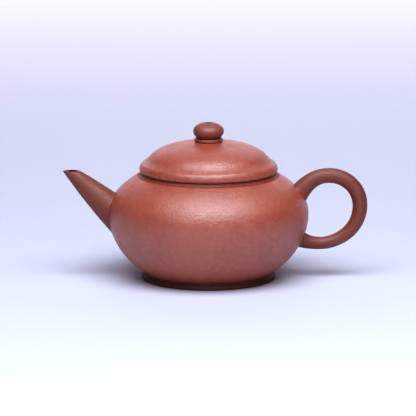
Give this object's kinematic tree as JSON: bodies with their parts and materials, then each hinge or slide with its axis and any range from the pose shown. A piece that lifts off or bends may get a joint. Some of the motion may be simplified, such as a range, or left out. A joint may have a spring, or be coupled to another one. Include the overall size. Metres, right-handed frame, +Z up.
{
  "type": "teapot",
  "caption": "Small round unglazed clay teapot with a straight tapering spout, a ring handle and a domed lift-off lid with a knob, for brewing and pouring tea.",
  "frame": {"origin": "centre of the foot ring in the plane it rests on, on the pot's axis", "axes": "+Z up along the pot's axis, +X towards the handle, -X towards the spout, +Y away from the side the picture shows"},
  "size_m": [0.138, 0.0906, 0.0711],
  "materials": {
    "clay": "satin"
  },
  "bodies": {
    "pot": {"body_wall": "clay", "base_disc": "clay", "shoulder_disc": "clay", "neck_ring": "clay", "foot_ring": "clay", "spout": "clay", "strainer": "clay", "handle": "clay"},
    "lid": {"lid_dome": "clay", "lid_rim": "clay", "lid_flange": "clay", "knob_washer": "clay", "knob": "clay"}
  },
  "joints": [
    {"name": "lid_lift", "type": "slide", "parent": "pot", "child": "lid", "axis": [0, 0, 1], "range_m": [0, 0.04]}
  ]
}
